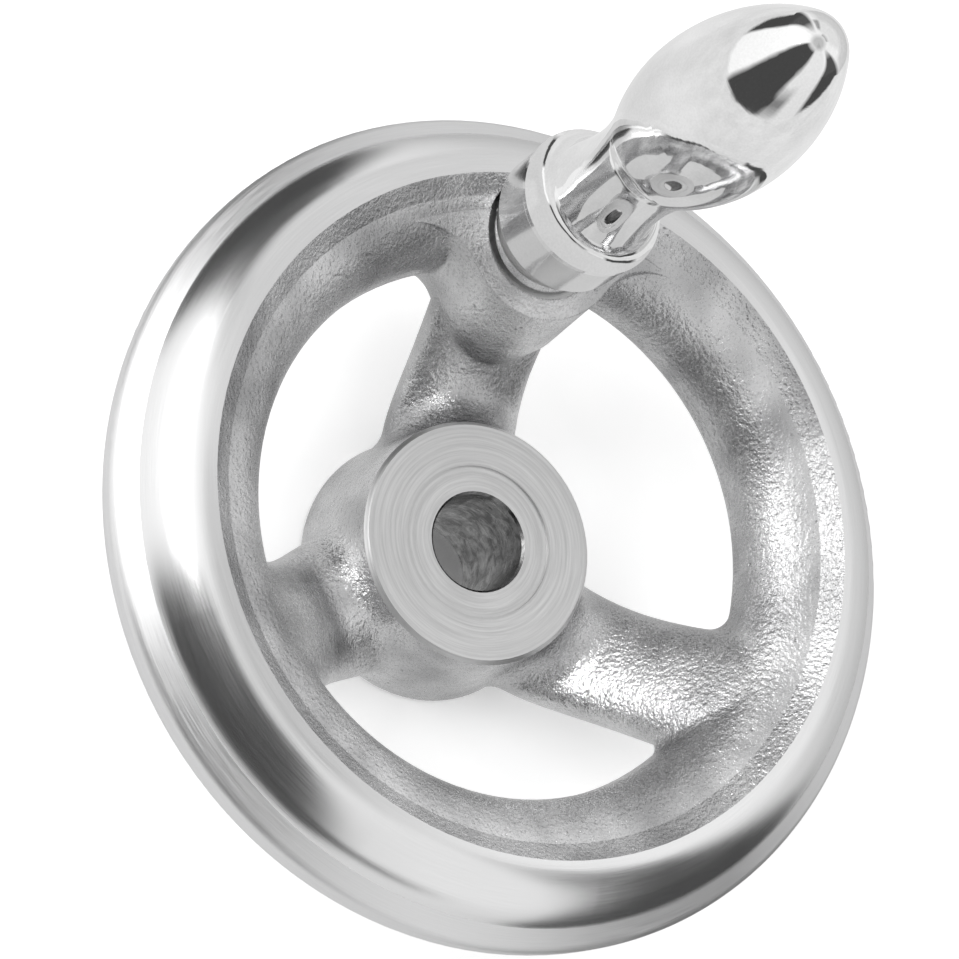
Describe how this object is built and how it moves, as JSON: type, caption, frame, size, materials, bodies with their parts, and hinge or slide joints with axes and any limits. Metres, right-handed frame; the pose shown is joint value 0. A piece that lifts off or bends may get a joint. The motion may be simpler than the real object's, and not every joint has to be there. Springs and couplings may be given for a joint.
{
  "type": "machine handwheel",
  "caption": "Three-spoke cast aluminium handwheel with a turned hub, a plain bore and a revolving polished bulb grip on a boss inside the rim.",
  "frame": {"origin": "centre of the bore in the plane of the hub's turned rear face", "axes": "+Z along the bore towards the operator, +X towards the grip, +Y completes the right-handed set"},
  "size_m": [0.1, 0.1, 0.0924],
  "materials": {
    "cast_aluminium": "blasted casting with brushed rim and turned hub face",
    "turned_steel": "fine turned",
    "spring_wire": "drawn wire",
    "polished_steel": "mirror polished"
  },
  "bodies": {
    "wheel": {"wheel_casting": "cast_aluminium", "grip_spindle": "turned_steel", "retaining_ring": "spring_wire"},
    "grip": {"grip_sleeve": "polished_steel"}
  },
  "joints": [
    {"name": "grip_spin", "type": "hinge", "parent": "wheel", "child": "grip", "pos_m": [0.0343, 0, 0.044], "axis": [0, 0, 1], "continuous": true}
  ]
}
